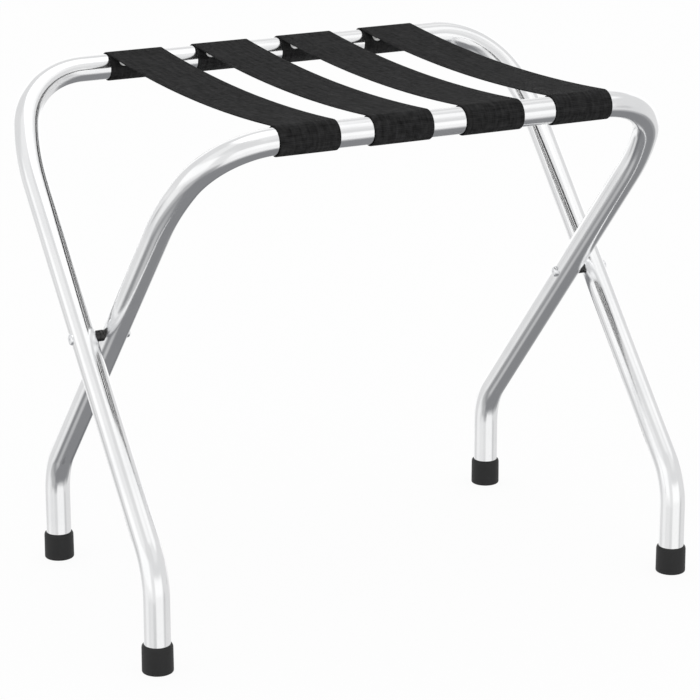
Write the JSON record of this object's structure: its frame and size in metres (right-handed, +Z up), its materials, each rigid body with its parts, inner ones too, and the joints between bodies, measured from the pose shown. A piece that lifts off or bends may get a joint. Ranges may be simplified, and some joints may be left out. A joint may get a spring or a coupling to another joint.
{
  "type": "folding luggage rack",
  "caption": "Folding luggage rack: crossed chrome tube frames pivoting on side bolts, black webbing straps looped and riveted on the rails, rubber feet.",
  "frame": {"origin": "on the floor, under the centre of the open rack", "axes": "+X along the rails to the right, +Y to the back, +Z up"},
  "size_m": [0.5874, 0.4072, 0.5052],
  "materials": {
    "chrome_tube": "mirror-polished chrome plate",
    "chrome_hardware": "bright plated",
    "foot_rubber": "matt moulded",
    "spacer_plastic": "matt moulded",
    "webbing": "flat woven webbing"
  },
  "bodies": {
    "outer_frame": {"outer_frame_tube": "chrome_tube", "outer_foot_left": "foot_rubber", "outer_foot_right": "foot_rubber", "pivot_bolt_left": "chrome_hardware", "pivot_bolt_right": "chrome_hardware", "cap_nut_left": "chrome_hardware", "cap_nut_right": "chrome_hardware", "outer_spacer_left": "spacer_plastic", "outer_spacer_right": "spacer_plastic", "head_washer_left": "chrome_hardware", "head_washer_right": "chrome_hardware"},
    "inner_frame": {"inner_frame_tube": "chrome_tube", "inner_foot_left": "foot_rubber", "inner_foot_right": "foot_rubber", "inner_spacer_left": "spacer_plastic", "inner_spacer_right": "spacer_plastic", "nut_washer_left": "chrome_hardware", "nut_washer_right": "chrome_hardware"},
    "rear_straps": {"rear_strap_1": "webbing", "rear_strap_2": "webbing", "rear_strap_3": "webbing", "rear_strap_4": "webbing", "rear_rivet_1_left": "chrome_hardware", "rear_rivet_1_right": "chrome_hardware", "rear_rivet_2_left": "chrome_hardware", "rear_rivet_2_right": "chrome_hardware", "rear_rivet_3_left": "chrome_hardware", "rear_rivet_3_right": "chrome_hardware", "rear_rivet_4_left": "chrome_hardware", "rear_rivet_4_right": "chrome_hardware"},
    "front_straps": {"front_strap_1": "webbing", "front_strap_2": "webbing", "front_strap_3": "webbing", "front_strap_4": "webbing", "front_rivet_1_left": "chrome_hardware", "front_rivet_1_right": "chrome_hardware", "front_rivet_2_left": "chrome_hardware", "front_rivet_2_right": "chrome_hardware", "front_rivet_3_left": "chrome_hardware", "front_rivet_3_right": "chrome_hardware", "front_rivet_4_left": "chrome_hardware", "front_rivet_4_right": "chrome_hardware"}
  },
  "joints": [
    {"name": "fold", "type": "hinge", "parent": "outer_frame", "child": "inner_frame", "pos_m": [0, 0, 0.27662], "axis": [-1, 0, 0], "range_deg": [0, 74.9], "deforming": ["rear_strap_1", "rear_strap_2", "rear_strap_3", "rear_strap_4", "front_strap_1", "front_strap_2", "front_strap_3", "front_strap_4"]},
    {"name": "rear_strap_swing", "type": "hinge", "parent": "outer_frame", "child": "rear_straps", "pos_m": [0, 0.1895, 0.4911], "axis": [1, 0, 0], "range_deg": [0, 48.35]},
    {"name": "front_strap_swing", "type": "hinge", "parent": "inner_frame", "child": "front_straps", "pos_m": [0, -0.1895, 0.4911], "axis": [-1, 0, 0], "range_deg": [0, 48.35]}
  ],
  "couplings": [
    {"joint": "rear_strap_swing", "follows": "fold", "ratio": 0.6449},
    {"joint": "front_strap_swing", "follows": "fold", "ratio": 0.6449}
  ]
}
